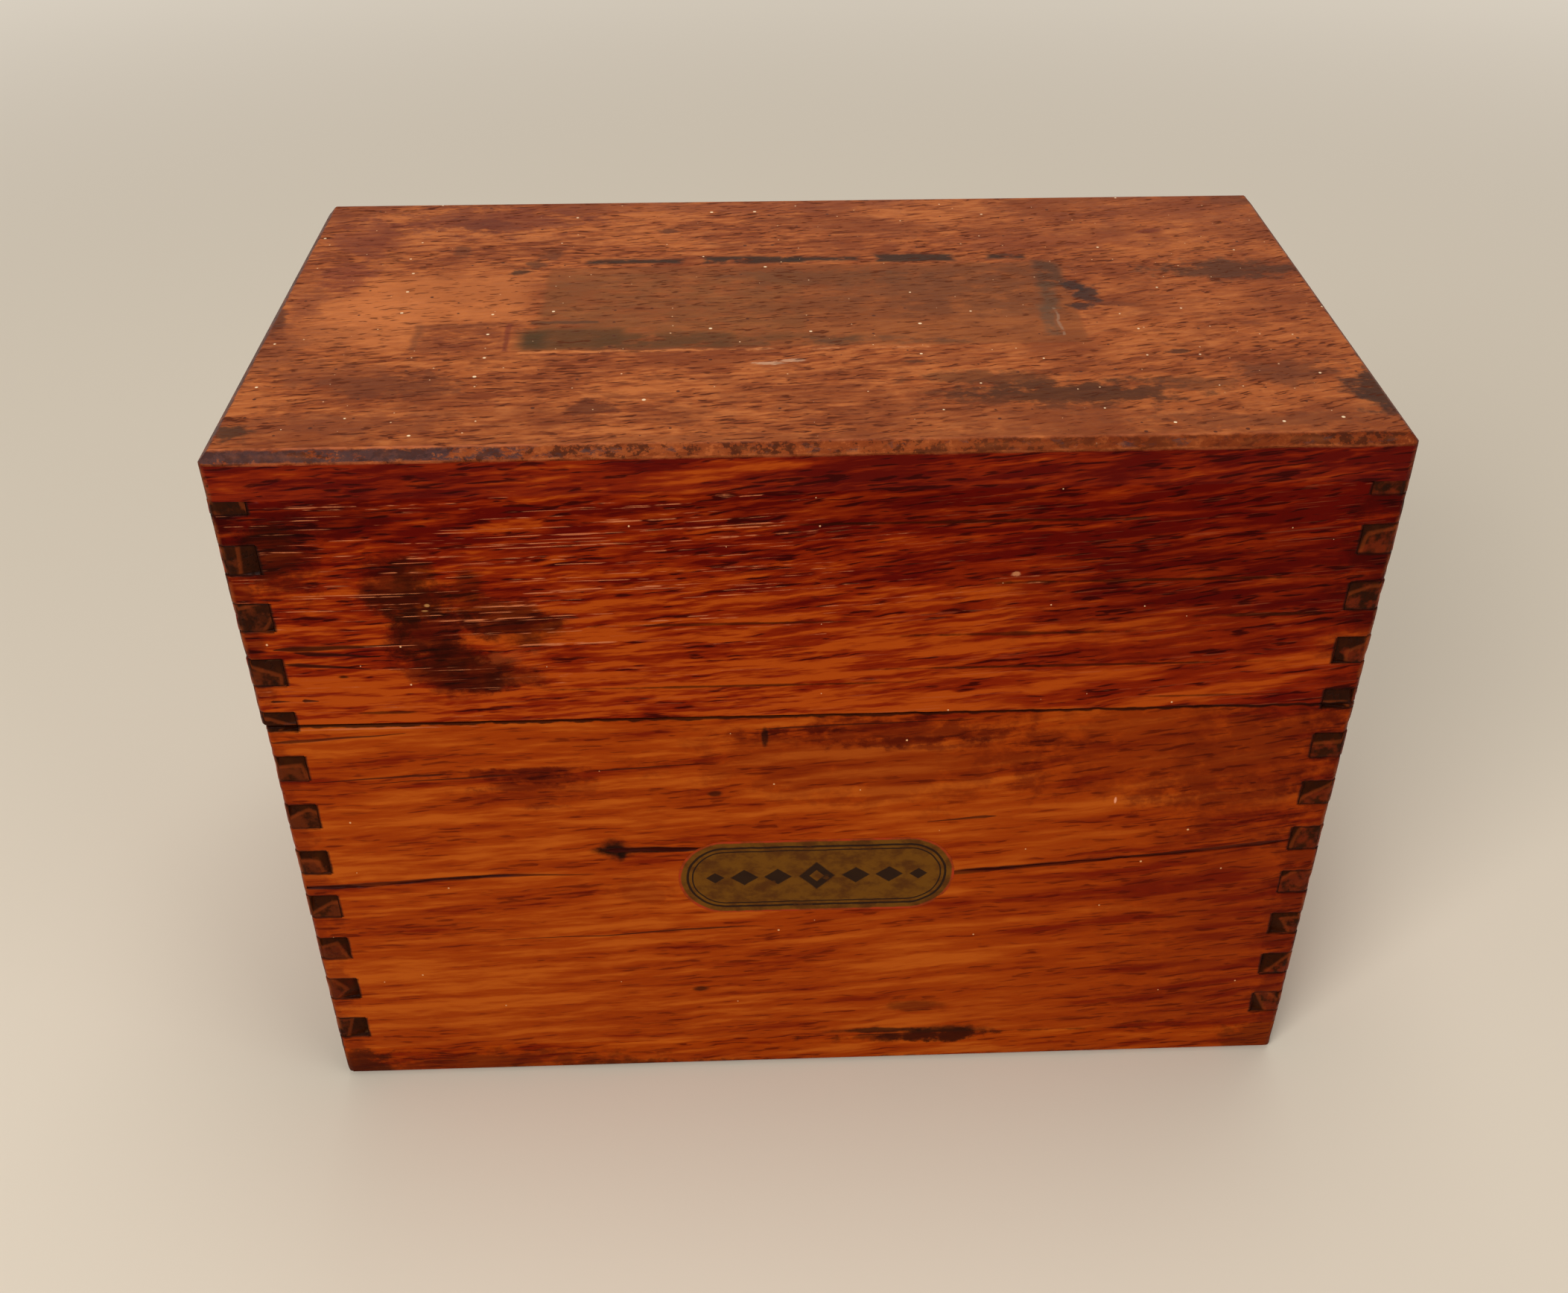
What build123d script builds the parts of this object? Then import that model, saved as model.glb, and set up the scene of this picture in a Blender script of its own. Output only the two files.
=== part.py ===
from build123d import *
import math
import os

# A hinged wooden box for 3 x 5 inch recipe cards, in millimetres.
# X runs along the front from left to right, Y from front to back, Z up.
# The origin is the middle of the underside of the box.
# The carcass is finger-jointed, closed by a top and a bottom board, glued up
# whole and then sawn round into lid and base, so the fingers run past the cut.

# ---- driving dimensions: the outside of the box
box_width = 146.0
box_depth = 83.0
box_height = 109.0
lid_height = 40.2

# ---- boards
wall_thickness = 4.76
top_board_thickness = 6.2
bottom_board_thickness = 6.2
corner_wear = 0.5
top_edge_bevel = 1.3
bottom_edge_bevel = 0.7

# ---- finger joints, and the saw cut that parts the lid from the base
finger_height = 4.233
first_finger_height = 1.9
thinnest_finger = 0.2
saw_kerf = 1.06
lid_gap_left = 0.35

# ---- thin liners inside the base, which stand up as a lip for the lid
liner_thickness = 2.4
lip_height = 6.0
lip_step = 0.15
lip_taper = 0.35
lip_nose = 1.0
lip_rear_snipe = 3.0

# ---- butt hinges let into the edges of the back walls
hinge_length = 25.4
hinge_from_side = 17.5
hinge_behind_box = 0.3
leaf_thickness = 0.8
leaf_gap = 0.2
leaf_inset = 0.15
mortise_fit = 0.1
knuckle_count = 5
knuckle_gap = 0.2
knuckle_relief = 0.25
pin_radius = 0.6
pin_clearance = 0.05
pin_end = 0.35
pin_end_bevel = 0.2

# ---- countersunk slotted screws that hold the hinge leaves
screws_apart = 17.0
screw_length = 6.4
screw_shank_radius = 0.65
screw_head_radius = 1.35
screw_slot_width = 0.35
screw_slot_depth = 0.3

# ---- places that follow from the driving dimensions
front = -box_depth / 2
back = box_depth / 2
left = -box_width / 2
right = box_width / 2
rim = box_height - lid_height
carcass_top = box_height - top_board_thickness
lid_joint_datum = carcass_top - first_finger_height
base_joint_datum = lid_joint_datum + saw_kerf
finger_pitch = 2 * finger_height
lip_top = rim + lip_height
lip_setback = lip_step + lip_taper
knuckle_bore = pin_radius + pin_clearance
knuckle_radius = knuckle_bore + leaf_thickness
axis_y = back + hinge_behind_box + knuckle_radius
axis_z = rim


def block(x0, x1, y0, y1, z0, z1):
    """A square block between two corners."""
    return Pos((x0 + x1) / 2, (y0 + y1) / 2, (z0 + z1) / 2) * Box(x1 - x0, y1 - y0, z1 - z0)


def worn_form(z0, z1):
    """The outside of the box between two heights, with its upright corners worn off."""
    outline = Rectangle(box_width, box_depth)
    return Pos(0, 0, z0) * extrude(chamfer(outline.vertices(), corner_wear), z1 - z0)


# ---------------------------------------------------------------- the boards


def side_fingers(z0, z1, datum):
    """Heights that the side boards' fingers take between z0 and z1; one ends at the datum."""
    first = math.floor((datum - z1) / finger_pitch)
    last = math.ceil((datum - z0) / finger_pitch)
    bands = []
    for count in range(first, last + 1):
        foot = datum - count * finger_pitch
        low = max(z0, foot)
        high = min(z1, foot + finger_height)
        if high - low > thinnest_finger:
            bands.append((low, high))
    return bands


def cross_board(y0, y1, z0, z1, datum):
    """A front or back wall: full width, with sockets at both ends for the side fingers."""
    sockets = []
    for low, high in side_fingers(z0, z1, datum):
        sockets.append(block(left, left + wall_thickness, y0, y1, low, high))
        sockets.append(block(right - wall_thickness, right, y0, y1, low, high))
    return (block(left, right, y0, y1, z0, z1) - sockets) & worn_form(z0, z1)


def side_board(x0, x1, z0, z1, datum):
    """A left or right wall, between front and back, with fingers that run through them."""
    board = block(x0, x1, front + wall_thickness, back - wall_thickness, z0, z1)
    tongues = []
    for low, high in side_fingers(z0, z1, datum):
        tongues.append(block(x0, x1, front, front + wall_thickness, low, high))
        tongues.append(block(x0, x1, back - wall_thickness, back, low, high))
    return (board + tongues) & worn_form(z0, z1)


def lid_relief():
    """The wedge missing under the lid, which sits a little open at the left."""
    outline = Polyline(
        (left, rim),
        (right - wall_thickness, rim),
        (left, rim + lid_gap_left),
        close=True,
    )
    return extrude(Plane.XZ * make_face(outline), box_depth / 2, both=True)


def bevelled_board(z0, z1, bevel, upwards):
    """The top or bottom board, with its outer edges eased all round."""
    board = block(left, right, front, back, z0, z1)
    outer_face = board.faces().sort_by(Axis.Z)[-1 if upwards else 0]
    return chamfer(outer_face.edges(), bevel) & worn_form(z0, z1)


# ---------------------------------------------------------------- the liners


def lip_profile():
    """Section of a liner: its x goes inwards from the wall's face, and its y is height."""
    return make_face(
        Polyline(
            (0, bottom_board_thickness),
            (liner_thickness, bottom_board_thickness),
            (liner_thickness, lip_top - lip_nose / 2),
            (liner_thickness - lip_nose / 2, lip_top),
            (lip_setback + lip_nose / 2, lip_top),
            (lip_setback, lip_top - lip_nose),
            (lip_step, rim),
            (0, rim),
            close=True,
        )
    )


def front_liner():
    """Glued to the front wall, from side wall to side wall, and narrower above the rim."""
    start = Plane((0, front + wall_thickness, 0), x_dir=(0, 1, 0), z_dir=(1, 0, 0))
    strip = extrude(start * lip_profile(), box_width / 2 - wall_thickness, both=True)
    inner_left = left + wall_thickness
    inner_right = right - wall_thickness
    ends = [
        block(inner_left, inner_left + lip_setback, front, back, rim, box_height),
        block(inner_right - lip_setback, inner_right, front, back, rim, box_height),
    ]
    return strip - ends


def left_liner():
    """Glued to the left wall, between the front liner and the back wall."""
    inner_back = back - wall_thickness
    inner_front = front + wall_thickness + liner_thickness
    start = Plane((left + wall_thickness, inner_front, 0), x_dir=(1, 0, 0), z_dir=(0, -1, 0))
    strip = extrude(start * lip_profile(), inner_front - inner_back)
    snipe = make_face(
        Polyline(
            (inner_back - lip_step, rim),
            (back, rim),
            (back, lip_top),
            (inner_back - lip_step - lip_rear_snipe, lip_top),
            close=True,
        )
    )
    cutter = Plane((left, 0, 0), x_dir=(0, 1, 0), z_dir=(1, 0, 0)) * snipe
    return strip - extrude(cutter, box_width / 2)


# ---------------------------------------------------------------- the hinges


def along_x(radius, x0, x1):
    """A round bar on the hinge axis."""
    return Pos((x0 + x1) / 2, axis_y, axis_z) * Rot(0, 90, 0) * Cylinder(radius, x1 - x0)


def knuckle_spans(centre, first):
    """Where along X every second knuckle runs, starting from the given one."""
    step = (hinge_length + knuckle_gap) / knuckle_count
    start = centre - hinge_length / 2
    spans = []
    for count in range(first, knuckle_count, 2):
        spans.append((start + count * step, start + (count + 1) * step - knuckle_gap))
    return spans


def screw_blank(x, upwards):
    """A countersunk screw with no slot, its head flush with the leaf's open face."""
    outline = Polyline(
        (0, 0),
        (screw_head_radius, 0),
        (screw_shank_radius, leaf_thickness),
        (screw_shank_radius, screw_length),
        (0, screw_length),
        close=True,
    )
    blank = revolve(Plane.XZ * make_face(outline), Axis.Z)
    if upwards:
        return Pos(x, back - wall_thickness / 2, rim + leaf_gap / 2) * blank
    return Pos(x, back - wall_thickness / 2, rim - leaf_gap / 2) * Rot(180, 0, 0) * blank


def hinge_screw(x, upwards):
    """The screw with its slot cut across the head."""
    y = back - wall_thickness / 2
    z_head = rim + (leaf_gap / 2 if upwards else -leaf_gap / 2)
    slot = block(
        x - screw_head_radius,
        x + screw_head_radius,
        y - screw_slot_width / 2,
        y + screw_slot_width / 2,
        z_head - screw_slot_depth,
        z_head + screw_slot_depth,
    )
    return screw_blank(x, upwards) - slot


def screw_blanks(centre, upwards):
    """The room that the two screws of one leaf take in the leaf and in the wood."""
    return [screw_blank(centre + side * screws_apart / 2, upwards) for side in (-1, 1)]


def hinge_screws(centre, upwards):
    """The two screws of one leaf."""
    pair = [hinge_screw(centre + side * screws_apart / 2, upwards) for side in (-1, 1)]
    return Compound(children=pair)


def leaf_heights(upwards):
    """The plate of a leaf lies between these heights, beside the pin axis."""
    if upwards:
        return rim + leaf_gap / 2, rim + leaf_gap / 2 + leaf_thickness
    return rim - leaf_gap / 2 - leaf_thickness, rim - leaf_gap / 2


def hinge_leaf(centre, upwards):
    """One leaf of a butt hinge: plate, rolled knuckles and countersunk holes."""
    z0, z1 = leaf_heights(upwards)
    x0 = centre - hinge_length / 2
    x1 = centre + hinge_length / 2
    plate_edge = back - wall_thickness + leaf_inset
    solid = block(x0, x1, plate_edge, axis_y - knuckle_radius - knuckle_relief, z0, z1)
    knuckle_root = axis_y - (knuckle_radius + knuckle_bore) / 2
    for k0, k1 in knuckle_spans(centre, 1 if upwards else 0):
        solid += block(k0, k1, plate_edge, knuckle_root, z0, z1)
        solid += along_x(knuckle_radius, k0, k1)
    bore = knuckle_bore if upwards else pin_radius
    return solid - along_x(bore, x0, x1) - screw_blanks(centre, upwards)


def hinge_pin(centre):
    """The steel pin, tight in the base leaf and running in the lid leaf."""
    half = hinge_length / 2 + pin_end
    pin = along_x(pin_radius, centre - half, centre + half)
    return chamfer(pin.edges().filter_by(GeomType.CIRCLE), pin_end_bevel)


def mortise(centre, upwards):
    """The notch in a back wall's edge that a leaf lies in, with the holes of its screws."""
    half = hinge_length / 2 + mortise_fit
    depth = leaf_thickness + leaf_gap / 2
    z0 = rim if upwards else rim - depth
    notch = block(centre - half, centre + half, back - wall_thickness, back, z0, z0 + depth)
    return [notch] + screw_blanks(centre, upwards)


# ---------------------------------------------------------------- putting it together

hinge_centres = {
    "left": left + hinge_from_side + hinge_length / 2,
    "right": right - hinge_from_side - hinge_length / 2,
}
lid_mortises = []
base_mortises = []
for centre in hinge_centres.values():
    lid_mortises += mortise(centre, True)
    base_mortises += mortise(centre, False)

parts = {}

# The lid: the sawn-off top of the carcass under its board.
lid = (rim, carcass_top, lid_joint_datum)
lid_back = cross_board(back - wall_thickness, back, *lid)
parts["lid_top_board"] = bevelled_board(carcass_top, box_height, top_edge_bevel, True)
parts["lid_front_wall"] = cross_board(front, front + wall_thickness, *lid) - lid_relief()
parts["lid_back_wall"] = lid_back - lid_relief() - lid_mortises
parts["lid_left_wall"] = side_board(left, left + wall_thickness, *lid) - lid_relief()
parts["lid_right_wall"] = side_board(right - wall_thickness, right, *lid)

# The base: the lower part of the carcass on its board.
base = (bottom_board_thickness, rim, base_joint_datum)
base_back = cross_board(back - wall_thickness, back, *base)
parts["base_bottom_board"] = bevelled_board(0, bottom_board_thickness, bottom_edge_bevel, False)
parts["base_front_wall"] = cross_board(front, front + wall_thickness, *base)
parts["base_back_wall"] = base_back - base_mortises
parts["base_left_wall"] = side_board(left, left + wall_thickness, *base)
parts["base_right_wall"] = side_board(right - wall_thickness, right, *base)

# The liners that the lid closes over.
parts["front_liner"] = front_liner()
parts["left_liner"] = left_liner()
parts["right_liner"] = mirror(left_liner(), Plane.YZ)

# The two hinges, each with its pin and its screws.
for side, centre in hinge_centres.items():
    parts[side + "_hinge_lid_leaf"] = hinge_leaf(centre, True)
    parts[side + "_hinge_base_leaf"] = hinge_leaf(centre, False)
    parts[side + "_hinge_pin"] = hinge_pin(centre)
    parts[side + "_hinge_lid_screws"] = hinge_screws(centre, True)
    parts[side + "_hinge_base_screws"] = hinge_screws(centre, False)

os.makedirs("parts", exist_ok=True)
for node, shape in parts.items():
    export_step(shape, "parts/" + node + ".step")
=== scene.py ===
import math

import bmesh
import bpy
from mathutils import Matrix, Vector, noise


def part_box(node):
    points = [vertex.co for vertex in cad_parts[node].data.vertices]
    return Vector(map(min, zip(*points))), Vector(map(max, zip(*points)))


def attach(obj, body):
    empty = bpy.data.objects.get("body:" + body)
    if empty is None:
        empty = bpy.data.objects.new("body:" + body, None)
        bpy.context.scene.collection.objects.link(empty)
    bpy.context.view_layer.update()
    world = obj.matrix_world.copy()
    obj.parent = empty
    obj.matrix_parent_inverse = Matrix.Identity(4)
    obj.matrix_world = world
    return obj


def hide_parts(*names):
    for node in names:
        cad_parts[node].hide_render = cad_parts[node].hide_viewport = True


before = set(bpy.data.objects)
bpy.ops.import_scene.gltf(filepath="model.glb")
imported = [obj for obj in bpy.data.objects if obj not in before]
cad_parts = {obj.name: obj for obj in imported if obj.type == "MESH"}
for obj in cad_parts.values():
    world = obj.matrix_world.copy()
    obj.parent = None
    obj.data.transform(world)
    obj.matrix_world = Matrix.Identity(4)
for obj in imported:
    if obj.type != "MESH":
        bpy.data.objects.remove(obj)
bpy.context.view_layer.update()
MM = 0.001

# ---------------------------------------------------------------- camera
# The box is seen from the front, from well above it and a little left of its middle.

PICTURE_WIDTH = 2105
PICTURE_HEIGHT = 1736
FOCAL_LENGTH_PX = 2212.4
PRINCIPAL_X_PX = 1087.3
PRINCIPAL_Y_PX = 952.1


def add(name, data):
    """A new object in the scene that holds this data."""
    item = bpy.data.objects.new(name, data)
    bpy.context.scene.collection.objects.link(item)
    return item


lens = bpy.data.cameras.new("camera")
lens.sensor_width = 36.0
lens.lens = lens.sensor_width * FOCAL_LENGTH_PX / PICTURE_WIDTH
lens.shift_x = (PICTURE_WIDTH / 2 - PRINCIPAL_X_PX) / PICTURE_WIDTH
lens.shift_y = (PRINCIPAL_Y_PX - PICTURE_HEIGHT / 2) / PICTURE_WIDTH
lens.clip_start = 0.01
camera = add("camera", lens)
camera.location = (-7.69 * MM, -215.98 * MM, 201.44 * MM)
camera.rotation_euler = (math.radians(53.014), math.radians(-0.092), math.radians(-2.244))
bpy.context.scene.camera = camera

# ---------------------------------------------------------------- floor and light
# A plain pale floor, a broad lamp from the upper left, and weaker ones from right and above.

FLOOR_COLOUR = (0.66, 0.58, 0.47)
FLOOR_RADIUS = 3.0
BACKDROP_COLOUR = (0.74, 0.67, 0.57)
HAZE_NEAR = 0.20
HAZE_FAR = 0.90
ROOM_COLOUR = (0.86, 0.83, 0.78)
ROOM_LIGHT = 0.34
LAMPS_AIM = Vector((0, 0, 0.05))


def feed(node, feeds):
    """Gives each named or numbered input of a node its value or its signal."""
    for key, value in feeds.items():
        socket = node.inputs[key]
        if isinstance(value, Signal):
            value.tree.links.new(value.socket, socket)
        else:
            socket.default_value = (*value, 1) if socket.type == "RGBA" else value


def given_by(node):
    """A node's outputs as signals, by their place and by their name."""
    signals = [Signal(socket) for socket in node.outputs]
    return dict(enumerate(signals)) | {signal.socket.name: signal for signal in signals}


def put(kind, feeds, tree=None, **settings):
    """Adds a node to the tree of the signals that feed it, and returns what it gives."""
    if tree is None:
        tree = next(value.tree for value in feeds.values() if isinstance(value, Signal))
    node = tree.nodes.new("ShaderNode" + kind)
    for name, value in settings.items():
        setattr(node, name, value)
    feed(node, feeds)
    return given_by(node)


def step(operation, swapped=False):
    """An operator between signals and numbers, or signals and vectors, that puts a node."""

    def is_vector(value):
        return isinstance(value, tuple) or (
            isinstance(value, Signal) and value.socket.type != "VALUE"
        )

    def apply(signal, *other):
        pair = (*other, signal) if swapped else (signal, *other)
        kind = "VectorMath" if any(is_vector(value) for value in pair) else "Math"
        return put(kind, dict(enumerate(pair)), operation=operation)[0]

    return apply


class Signal:
    """What a node gives, open to plain arithmetic, of which each step is a node."""

    def __init__(self, socket):
        self.socket = socket
        self.tree = socket.id_data

    __add__ = __radd__ = step("ADD")
    __mul__ = __rmul__ = step("MULTIPLY")
    __sub__ = step("SUBTRACT")
    __rsub__ = step("SUBTRACT", swapped=True)
    __truediv__ = step("DIVIDE")
    __pow__ = step("POWER")
    __abs__ = step("ABSOLUTE")


larger = step("MAXIMUM")


def length(vector):
    """How long a vector is."""
    return put("VectorMath", {0: vector}, operation="LENGTH")["Value"]


def scaled(vector, factor):
    """The vector times one number."""
    return put("VectorMath", {0: vector, "Scale": factor}, operation="SCALE")[0]


def ease(value, low, high):
    """0 at low and 1 at high, smooth in between."""
    feeds = {"Value": value, "From Min": low, "From Max": high}
    return put("MapRange", feeds, interpolation_type="SMOOTHSTEP")["Result"]


def seen(tree):
    """1 for what the camera sees, also by way of a gloss or a glass."""
    path = put("LightPath", {}, tree)
    straight = larger(path["Is Camera Ray"], path["Is Glossy Ray"])
    return larger(straight, path["Is Transmission Ray"])


def new_finish(name):
    """A new material, its shader, and the place on the piece, which its colours follow."""
    material = bpy.data.materials.new(name)
    material.use_nodes = True
    tree = material.node_tree
    return material, tree.nodes["Principled BSDF"], put("TexCoord", {}, tree)["Object"]


def add_mesh(name, shape, finish):
    """A new object in the scene with that shape and finish."""
    mesh = bpy.data.meshes.new(name)
    shape.to_mesh(mesh)
    shape.free()
    mesh.materials.append(finish)
    return add(name, mesh)


def soft_lamp(name, place, width, power):
    """A square soft box that looks at the middle of the box."""
    data = bpy.data.lights.new(name, "AREA")
    data.size = width
    data.energy = power
    lamp = add(name, data)
    lamp.location = place
    lamp.rotation_euler = (LAMPS_AIM - Vector(place)).to_track_quat("-Z", "Y").to_euler()


floor_finish, shader, vector = new_finish("floor_paint")
feed(shader, {"Base Color": FLOOR_COLOUR, "Roughness": 0.9, "Specular IOR Level": 0.1})
tree = vector.tree
share = ease(length(vector), HAZE_NEAR, HAZE_FAR) * seen(tree)
haze = put("Emission", {"Color": BACKDROP_COLOUR}, tree)[0]
joined = put("MixShader", {0: share, 1: Signal(shader.outputs[0]), 2: haze})[0]
feed(tree.nodes["Material Output"], {"Surface": joined})
shape = bmesh.new()
bmesh.ops.create_circle(shape, cap_ends=True, segments=64, radius=FLOOR_RADIUS)
floor = add_mesh("floor", shape, floor_finish)

soft_lamp("key_lamp", (-0.50, -0.70, 0.65), 0.45, 7.2)
soft_lamp("fill_lamp", (0.75, -0.60, 0.45), 0.60, 2.4)
soft_lamp("over_lamp", (0.05, 0.15, 0.95), 0.50, 3.4)

studio = bpy.data.worlds.new("studio")
studio.use_nodes = True
tree = studio.node_tree
room = tree.nodes["Background"]
feed(room, {"Color": ROOM_COLOUR, "Strength": ROOM_LIGHT})
backdrop = put("Background", {"Color": BACKDROP_COLOUR}, tree)[0]
joined = put("MixShader", {0: seen(tree), 1: Signal(room.outputs[0]), 2: backdrop})[0]
feed(tree.nodes["World Output"], {"Surface": joined})
bpy.context.scene.world = studio
bpy.context.scene.view_settings.view_transform = "Standard"

# ---------------------------------------------------------------- base front wall
# A 3/16 inch board of open-grained red-brown hardwood with its grain from left to right.
# Its ends are cut to sockets for the side walls' fingers, and it is glued to them.
# Varnish, long gone dull, lies over the assembled box, and dirt has filled the joints.

LEFT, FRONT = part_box("base_front_wall")[0].xy
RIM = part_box("base_front_wall")[1].z
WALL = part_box("base_front_wall")[1].y - FRONT
RIGHT, BACK = -LEFT, -FRONT
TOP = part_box("lid_top_board")[1].z
FINGER = 4.233 * MM
BASE_JOINT_DATUM = 101.96 * MM
LID_JOINT_DATUM = 100.90 * MM
WALLS = {"base": (6.2 * MM, RIM), "lid": (RIM, TOP - 6.2 * MM)}
QUARTER_TURN = math.radians(90)
RELIEF = 0.05 * MM


def tint(red, green, blue):
    """A colour from its screen values, each from 0 to 255."""
    return tuple(
        ((c / 255 + 0.055) / 1.055) ** 2.4 if c > 10 else c / 3294.6
        for c in (red, green, blue)
    )


smaller = step("MINIMUM")


def coordinates(vector):
    """The vector's X, Y and Z."""
    return put("SeparateXYZ", {0: vector})


def cloudy(vector, detail, roughness=0.5):
    """Noise around 0.5 whose lumps are about one unit of the vector wide."""
    feeds = {"Vector": vector, "Scale": 1.0, "Detail": detail, "Roughness": roughness}
    return put("TexNoise", feeds)[0]


def astray(vector, scale, by):
    """The vector led astray by noise: scale and by are its fineness and its reach."""
    wander = put("TexNoise", {"Vector": vector * scale, "Scale": 1.0, "Detail": 2.0})["Color"]
    return vector + (wander - (0.5, 0.5, 0.5)) * by


def turned(vector, offset=(0.0, 0.0, 0.0), turn=(0.0, 0.0, QUARTER_TURN)):
    """The vector turned about the origin and then moved."""
    return put("Mapping", {"Vector": vector, "Location": offset, "Rotation": turn})[0]


def blend(amount, under, over):
    """The first colour, covered by the second where amount is 1."""
    return put("Mix", {0: amount, 6: under, 7: over}, data_type="RGBA")[2]


def effect(name, takes, gives):
    """An empty node group with named sockets: its inputs, and a way to fill its outputs."""
    group = bpy.data.node_groups.new(name, "ShaderNodeTree")
    for way, sockets in (("INPUT", takes), ("OUTPUT", gives)):
        for label, kind in sockets.items():
            group.interface.new_socket(name=label, in_out=way, socket_type="NodeSocket" + kind)
    end = group.nodes.new("NodeGroupOutput")

    def give(**signals):
        feed(end, signals)

    return group, given_by(group.nodes.new("NodeGroupInput")), give


def use(group, **feeds):
    """One use of a node group; feeds gives its inputs, with _ for a space."""
    feeds = {key.replace("_", " "): value for key, value in feeds.items()}
    return put("Group", feeds, node_tree=group)


# Grain along the vector's x: broad and soft bands, fine streaks and short dark dashes.
grain, given, give = effect(
    "open_pored_grain",
    {"Vector": "Vector", "Pale": "Color", "Middle": "Color", "Dark": "Color", "Dash": "Color",
     "Bias": "Float", "Soft": "Float", "Fine": "Float", "Dashes": "Float"},
    {"Color": "Color", "Bare": "Color", "Height": "Float", "Pores": "Float"},
)
vector = astray(given["Vector"], (14, 30, 30), (0.0, 0.0034, 0.0034))
vector = astray(vector, (150, 260, 260), (0.0, 0.0009, 0.0009))
broad = cloudy(vector * (16, 100, 100), 1.0)
bands = cloudy(vector * (38, 460, 460), 2.0)
streaks = cloudy(vector * (110, 1300, 1300), 3.0, 0.62)
dashes = cloudy(vector * (220, 2300, 2300), 1.0)
tone = (broad - 0.5) * 0.8 + (bands - 0.5) * given["Soft"] + (streaks - 0.5) * given["Fine"]
tone = tone + 0.5 + given["Bias"]
colour = blend(ease(tone, 0.05, 0.52), given["Pale"], given["Middle"])
colour = blend(ease(tone, 0.48, 0.95), colour, given["Dark"])
dash_mask = ease(dashes, 0.565, 0.655) * ease(tone, 0.34, 0.62) * given["Dashes"]
bare = blend(ease(tone, 0.1, 0.9), tint(178, 130, 84), tint(134, 86, 50))
bare = blend(dash_mask * 0.8, bare, tint(92, 54, 30))
give(Color=blend(dash_mask, colour, given["Dash"]), Bare=bare)
give(Height=streaks - dash_mask, Pores=dash_mask)

# The dirt in the seams of the finger joints at a board's ends.
joints, given, give = effect(
    "finger_joints",
    {"Vector": "Vector", "Datum": "Float", "Half length": "Float"},
    {"Seam": "Float"},
)
vector = astray(given["Vector"], (700, 700, 700), (0.0004, 0.0004, 0.0004))
place = coordinates(vector)
turns = step("FRACT")((given["Datum"] - place["Z"]) / (2 * FINGER))
beyond = abs(place["X"]) - (given["Half length"] - WALL)
is_over = step("GREATER_THAN")
to_upright = abs(beyond) + 1 - is_over(turns, 0.5)
to_level = step("PINGPONG")(turns, 0.25) * 2 * FINGER + 1 - is_over(beyond, 0.0)
upright = 1 - ease(to_upright, 0.08 * MM, 0.50 * MM)
level = 1 - ease(to_level, 0.06 * MM, 0.36 * MM)
filled = cloudy(given["Vector"] * (300, 300, 300), 2.0)
level = level * (0.5 * ease(filled, 0.4, 0.6) + 0.4)
give(Seam=larger(upright, level))

# Where the box is handled and where it isn't: arrises, the sawn rim, whose gap gets painted shade,
# bare inner wood, ends.
skin, given, give = effect(
    "handled_skin",
    {"Vector": "Vector", "Ends": "Vector"},
    {"Arris": "Float", "Rim": "Float", "Bare": "Float", "End": "Float"},
)
vector = astray(given["Vector"], (420, 420, 420), (0.0008, 0.0008, 0.0008))
place = coordinates(vector)
from_side = RIGHT - abs(place["X"])
from_face = BACK - abs(place["Y"])
from_flat = smaller(place["Z"], TOP - place["Z"])
depth = smaller(smaller(from_side, from_face), from_flat)
to_arris = larger(from_side, from_face)
to_arris = smaller(to_arris, larger(from_face, from_flat))
to_arris = smaller(to_arris, larger(from_side, from_flat))
rubbed = cloudy(given["Vector"] * (260, 260, 260), 3.0, 0.6)
arris = (1 - ease(to_arris, 0.3 * MM, 1.1 * MM)) * ease(rubbed, 0.42, 0.60)
give(Arris=arris)
from_rim = abs(place["Z"] - RIM)
still = coordinates(given["Vector"])
ends = coordinates(given["Ends"])
from_end = (RIGHT - abs(still["X"])) * ends["X"] + (BACK - abs(still["Y"])) * ends["Y"]
give(Rim=1 - ease(from_rim, 0.12 * MM, 0.36 * MM), Bare=ease(depth, 0.7 * MM, 1.1 * MM))
give(End=1 - ease(from_end, 0.32 * MM, 0.55 * MM))

# A stain of a given middle and half size; Torn is the noise that makes its edge ragged.
stain, given, give = effect(
    "ragged_stain",
    {"Vector": "Vector", "Torn": "Float", "Middle": "Vector", "Half size": "Vector"},
    {"Mask": "Float"},
)
away = length((given["Vector"] - given["Middle"]) / given["Half size"]) + given["Torn"]
give(Mask=1 - ease(away, 0.50, 1.20))

# A crack or scratch between two points of a face, closing towards its end.
crack, given, give = effect(
    "crack",
    {"Vector": "Vector", "From": "Vector", "To": "Vector", "Width": "Float"},
    {"Mask": "Float"},
)
here = given["Vector"] - given["From"]
run = given["To"] - given["From"]
along = put("VectorMath", {0: here, 1: run}, operation="DOT_PRODUCT")["Value"]
along = along / put("VectorMath", {0: run, 1: run}, operation="DOT_PRODUCT")["Value"]
off = length((here - scaled(run, along)) * (1.0, 0.1, 1.0))
wide = given["Width"] * smaller(1.1 - along, 5.0 * along + 0.1)
off = 1 - ease(off / larger(wide, 0.00001), 0.35, 1.0)
give(Mask=off * ease(along, -0.01, 0.01) * (1 - ease(along, 0.97, 1.0)))

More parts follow.
